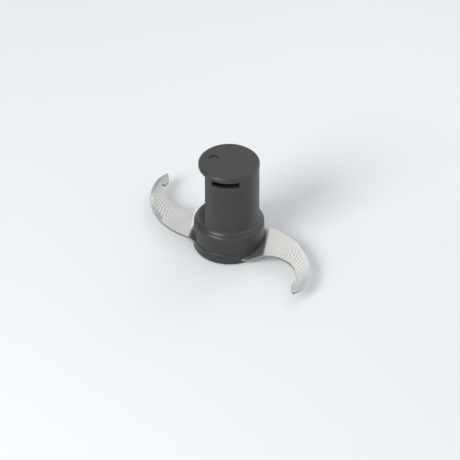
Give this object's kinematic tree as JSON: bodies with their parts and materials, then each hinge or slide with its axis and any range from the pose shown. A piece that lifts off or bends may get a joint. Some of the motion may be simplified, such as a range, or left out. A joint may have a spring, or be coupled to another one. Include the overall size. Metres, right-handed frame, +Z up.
{
  "type": "food processor blade",
  "caption": "S-shaped steel cutter with two cranked sickle wings, clamped under a hollow moulded hub with a flat cap, a finger notch and a grip flat.",
  "frame": {"origin": "on the axis of rotation, at the underside of the base ring", "axes": "+Z up along the axis of rotation towards the cap; +Y towards the tip of the left wing, square to the line through the axis on which the wings leave the hub"},
  "size_m": [0.1056, 0.1282, 0.068],
  "materials": {
    "hub_plastic": "satin moulded plastic, charcoal grey",
    "cap_plastic": "satin moulded plastic, charcoal grey",
    "blade_steel": "ground stainless sheet",
    "ring_plastic": "satin moulded plastic, charcoal grey",
    "insert_plastic": "natural acetal"
  },
  "bodies": {
    "root": {"hub_body": "hub_plastic", "top_cap": "cap_plastic", "s_blade": "blade_steel", "base_ring": "ring_plastic", "drive_insert": "insert_plastic"}
  },
  "joints": []
}
